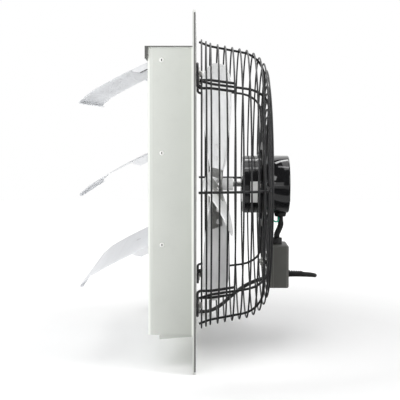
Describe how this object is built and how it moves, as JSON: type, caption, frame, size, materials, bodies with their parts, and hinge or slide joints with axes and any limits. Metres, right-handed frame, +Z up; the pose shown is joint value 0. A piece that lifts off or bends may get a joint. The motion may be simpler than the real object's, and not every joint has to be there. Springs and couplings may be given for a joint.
{
  "type": "shutter exhaust fan",
  "caption": "Wall-mounted shutter exhaust fan: a square panel with a louvered housing on one side and a guarded axial fan, motor, junction box and supply cord on the other.",
  "frame": {"origin": "on the fan's axis, in the face of the mounting panel that meets the wall", "axes": "+X along the fan's axis, from the louvers outdoors to the motor indoors; +Z up"},
  "size_m": [0.3659, 0.676, 0.51],
  "materials": {
    "panel_paint": "satin baked paint",
    "housing_paint": "satin baked paint, light greenish grey",
    "louver_aluminium": "mill finish, matt",
    "zinc_steel": "zinc plated",
    "nylon": "natural nylon",
    "guard_black": "black powder coat",
    "blade_aluminium": "mill finish",
    "shaft_steel": "ground",
    "motor_black": "gloss black",
    "lamination_steel": "bare laminations",
    "copper": "enamelled copper wire",
    "box_olive": "dull dark grey paint",
    "rubber_black": "matt",
    "gland_plastic": "moulded",
    "cord_black": "matt jacket",
    "plug_black": "moulded",
    "plug_brass": "polished",
    "ground_green": "insulated wire",
    "capacitor_shell": "moulded",
    "connector_yellow": "moulded"
  },
  "bodies": {
    "frame": {"mounting_panel": "panel_paint", "housing_side_near": "housing_paint", "housing_side_far": "housing_paint", "top_hood": "housing_paint", "bottom_plate": "housing_paint", "pivot_pins": "zinc_steel", "pivot_bushings": "nylon", "guard_mouth_rings": "guard_black", "guard_side_rings": "guard_black", "guard_back_rings": "guard_black", "guard_ribs": "guard_black", "guard_feet": "guard_black", "foot_screws": "zinc_steel", "foot_washers": "zinc_steel", "motor_front_bell": "motor_black", "motor_rear_bell": "motor_black", "stator_core": "lamination_steel", "windings": "copper", "front_bearing": "shaft_steel", "rear_bearing": "shaft_steel", "mount_plate": "guard_black", "mount_screws": "zinc_steel", "mount_nuts": "zinc_steel", "lead_grommet": "rubber_black", "motor_lead": "rubber_black", "cable_gland": "gland_plastic", "ground_wire": "ground_green", "ground_lug": "zinc_steel", "ground_screw": "zinc_steel", "junction_box": "box_olive", "box_back_plate": "box_olive", "box_clamp": "zinc_steel", "box_screws": "zinc_steel", "run_capacitor": "capacitor_shell", "wire_connectors": "connector_yellow", "cord_collar": "rubber_black", "supply_cord": "cord_black", "cord_coil": "cord_black", "cord_tail": "cord_black", "plug_body": "plug_black", "plug_blades": "plug_brass"},
    "rotor": {"fan_shaft": "shaft_steel", "fan_hub": "blade_aluminium", "hub_set_screw": "zinc_steel", "blade_spider": "zinc_steel", "blade_rivets": "blade_aluminium", "rotor_core": "lamination_steel", "fan_blade_1": "blade_aluminium", "fan_blade_2": "blade_aluminium", "fan_blade_3": "blade_aluminium", "fan_blade_4": "blade_aluminium"},
    "louver_1_body": {"louver_1": "louver_aluminium", "tie_pin_1": "zinc_steel"},
    "louver_2_body": {"louver_2": "louver_aluminium", "tie_pin_2": "zinc_steel"},
    "louver_3_body": {"louver_3": "louver_aluminium", "tie_pin_3": "zinc_steel"},
    "tie_bar_body": {"tie_bar": "zinc_steel"}
  },
  "joints": [
    {"name": "fan_spin", "type": "hinge", "parent": "frame", "child": "rotor", "pos_m": [0.09, 0, 0], "axis": [1, 0, 0], "continuous": true},
    {"name": "louver_1_swing", "type": "hinge", "parent": "frame", "child": "louver_1_body", "pos_m": [-0.047, 0, 0.188], "axis": [0, 1, 0], "range_deg": [-59, 12]},
    {"name": "louver_2_swing", "type": "hinge", "parent": "frame", "child": "louver_2_body", "pos_m": [-0.047, 0, 0.056], "axis": [0, 1, 0], "range_deg": [-59, 12]},
    {"name": "louver_3_swing", "type": "hinge", "parent": "frame", "child": "louver_3_body", "pos_m": [-0.047, 0, -0.076], "axis": [0, 1, 0], "range_deg": [-59, 12]},
    {"name": "tie_bar_swing", "type": "hinge", "parent": "louver_1_body", "child": "tie_bar_body", "pos_m": [-0.03488, 0, 0.1928], "axis": [0, 1, 0], "range_deg": [-12, 59]}
  ],
  "couplings": [
    {"joint": "louver_2_swing", "follows": "louver_1_swing", "ratio": 1},
    {"joint": "louver_3_swing", "follows": "louver_1_swing", "ratio": 1},
    {"joint": "tie_bar_swing", "follows": "louver_1_swing", "ratio": -1}
  ]
}
